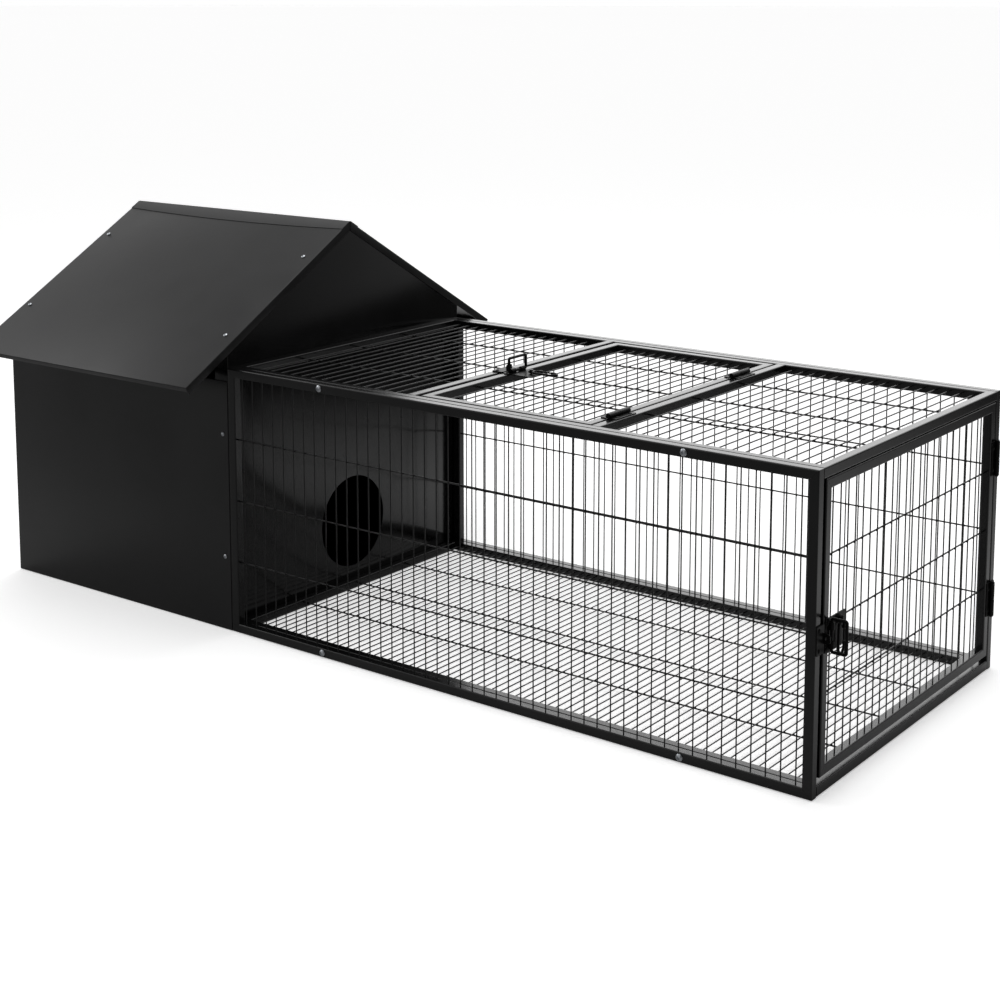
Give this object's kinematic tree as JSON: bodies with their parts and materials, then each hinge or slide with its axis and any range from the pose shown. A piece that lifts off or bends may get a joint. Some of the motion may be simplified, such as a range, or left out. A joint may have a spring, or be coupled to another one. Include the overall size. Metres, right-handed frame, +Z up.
{
  "type": "wire rabbit cage",
  "caption": "Long welded-mesh rabbit run with a hinged end door, a hinged roof lid and a gable-roofed sheet-metal house joined to one end.",
  "frame": {"origin": "middle of the footprint, on the floor", "axes": "+X along the length towards the hinged end door, the house at -X; +Y towards the back; +Z up"},
  "size_m": [1.6688, 0.798, 0.6656],
  "materials": {
    "black_coated_tube": "gloss black powder coat",
    "black_coated_wire": "gloss black powder coat",
    "black_coated_sheet": "semi-gloss black powder coat",
    "black_coated_hardware": "gloss black",
    "zinc_plated_steel": "bright zinc plate"
  },
  "bodies": {
    "cage": {"back_panel_tubes": "black_coated_tube", "back_panel_wires": "black_coated_wire", "clamp_screws": "zinc_plated_steel", "door_hinge_fixed_leaves": "black_coated_hardware", "door_hinge_fixed_rivets": "black_coated_hardware", "door_hinge_pins": "black_coated_hardware", "door_keeper_rivets": "black_coated_hardware", "door_latch_keeper": "black_coated_hardware", "floor_frame_tubes": "black_coated_tube", "floor_wires": "black_coated_wire", "front_panel_tubes": "black_coated_tube", "front_panel_wires": "black_coated_wire", "house_back_panel": "black_coated_sheet", "house_end_wall": "black_coated_sheet", "house_floor_sheet": "black_coated_sheet", "house_front_panel": "black_coated_sheet", "house_gable_wall": "black_coated_sheet", "house_panel_screws": "zinc_plated_steel", "joining_bolts": "zinc_plated_steel", "lid_hinge_fixed_leaves": "black_coated_hardware", "lid_hinge_fixed_rivets": "black_coated_hardware", "lid_hinge_pins": "black_coated_hardware", "lid_keeper_rivets": "black_coated_hardware", "lid_latch_keeper": "black_coated_hardware", "ridge_cap": "black_coated_sheet", "ridge_cap_screws": "zinc_plated_steel", "roof_back_sheet": "black_coated_sheet", "roof_front_sheet": "black_coated_sheet", "roof_screws": "zinc_plated_steel", "top_frame_tubes": "black_coated_tube", "top_left_wires": "black_coated_wire", "top_right_wires": "black_coated_wire"},
    "door": {"door_hinge_moving_leaves": "black_coated_hardware", "door_hinge_moving_rivets": "black_coated_hardware", "door_latch_plate": "black_coated_hardware", "door_latch_rivets": "black_coated_hardware", "door_tubes": "black_coated_tube", "door_wires": "black_coated_wire"},
    "lid": {"lid_hinge_moving_leaves": "black_coated_hardware", "lid_hinge_moving_rivets": "black_coated_hardware", "lid_latch_plate": "black_coated_hardware", "lid_latch_rivets": "black_coated_hardware", "lid_tubes": "black_coated_tube", "lid_wires": "black_coated_wire"},
    "door_bail": {"door_latch_bail": "black_coated_hardware"},
    "lid_bail": {"lid_latch_bail": "black_coated_hardware"},
    "door_hook": {"door_snap_hook": "black_coated_hardware"},
    "lid_hook": {"lid_snap_hook": "black_coated_hardware"},
    "door_gate": {"door_snap_gate": "black_coated_hardware"},
    "lid_gate": {"lid_snap_gate": "black_coated_hardware"}
  },
  "joints": [
    {"name": "door_hinge", "type": "hinge", "parent": "cage", "child": "door", "pos_m": [0.80963, 0.2885, 0.23], "axis": [0, 0, 1], "range_deg": [0, 170]},
    {"name": "lid_hinge", "type": "hinge", "parent": "cage", "child": "lid", "pos_m": [0.42812, 0, 0.454], "axis": [0, 1, 0], "range_deg": [0, 165]},
    {"name": "door_bail_pivot", "type": "hinge", "parent": "door", "child": "door_bail", "pos_m": [0.81012, -0.267, 0.219], "axis": [0, 0, 1], "range_deg": [-90, 0]},
    {"name": "lid_bail_pivot", "type": "hinge", "parent": "lid", "child": "lid_bail", "pos_m": [0.12562, -0.042, 0.4545], "axis": [0, 1, 0], "range_deg": [-90, 0]},
    {"name": "door_hook_pivot", "type": "hinge", "parent": "door", "child": "door_hook", "pos_m": [0.81042, -0.239, 0.235], "axis": [1, 0, 0], "range_deg": [-12, 75]},
    {"name": "lid_hook_pivot", "type": "hinge", "parent": "lid", "child": "lid_hook", "pos_m": [0.15363, -0.042, 0.4548], "axis": [0, 0, 1], "range_deg": [-70, 70]},
    {"name": "door_gate_pivot", "type": "hinge", "parent": "door_hook", "child": "door_gate", "pos_m": [0.81042, -0.231, 0.221], "axis": [1, 0, 0], "range_deg": [-25, 0], "stiffness_Nm_per_rad": 0.005},
    {"name": "lid_gate_pivot", "type": "hinge", "parent": "lid_hook", "child": "lid_gate", "pos_m": [0.16762, -0.034, 0.4548], "axis": [0, 0, 1], "range_deg": [-25, 0], "stiffness_Nm_per_rad": 0.005}
  ]
}
